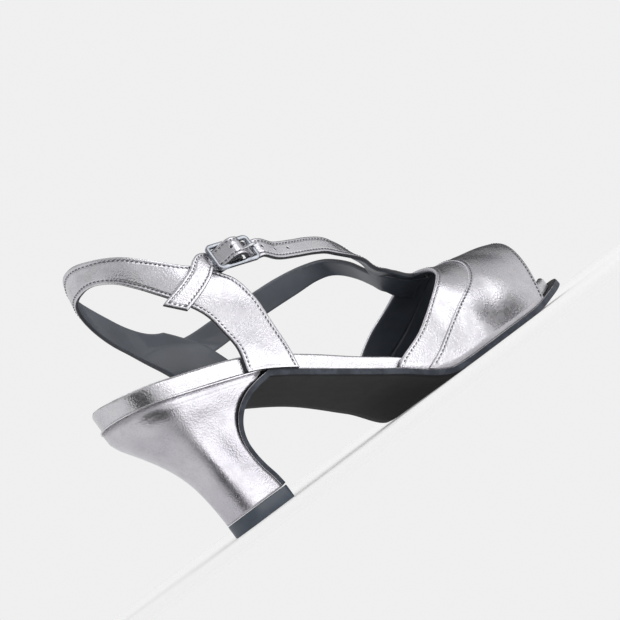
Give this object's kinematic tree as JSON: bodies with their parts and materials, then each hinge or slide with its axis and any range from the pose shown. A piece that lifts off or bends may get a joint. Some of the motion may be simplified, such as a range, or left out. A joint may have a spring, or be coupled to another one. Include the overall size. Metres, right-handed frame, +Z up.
{
  "type": "heeled sandal",
  "caption": "Right-foot sandal: peep-toe vamp, crossing ankle straps with a buckle, a slingback band and a covered block heel.",
  "frame": {"origin": "on the heel tip's ground face, under the heel", "axes": "+X from the heel to the toe, +Y to the inner (medial) side of the foot, +Z up"},
  "size_m": [0.2288, 0.0749, 0.1296],
  "materials": {
    "sole_suede": "napped black suede",
    "heel_cover": "pewter metallic leather, fine grain",
    "tip_rubber": "matt slate rubber with fine ribs",
    "insole_leather": "pewter metallic leather on the rim, dark smooth lining on top",
    "upper_leather": "pewter metallic leather, fine grain",
    "buckle_metal": "polished gunmetal",
    "prong_metal": "polished gunmetal",
    "elastic": "ribbed dark elastic"
  },
  "bodies": {
    "root": {"outsole": "sole_suede", "heel": "heel_cover", "heel_tip": "tip_rubber", "insole": "insole_leather", "upper": "upper_leather", "buckle_frame": "buckle_metal", "buckle_prong": "prong_metal", "elastic_loop": "elastic"}
  },
  "joints": []
}
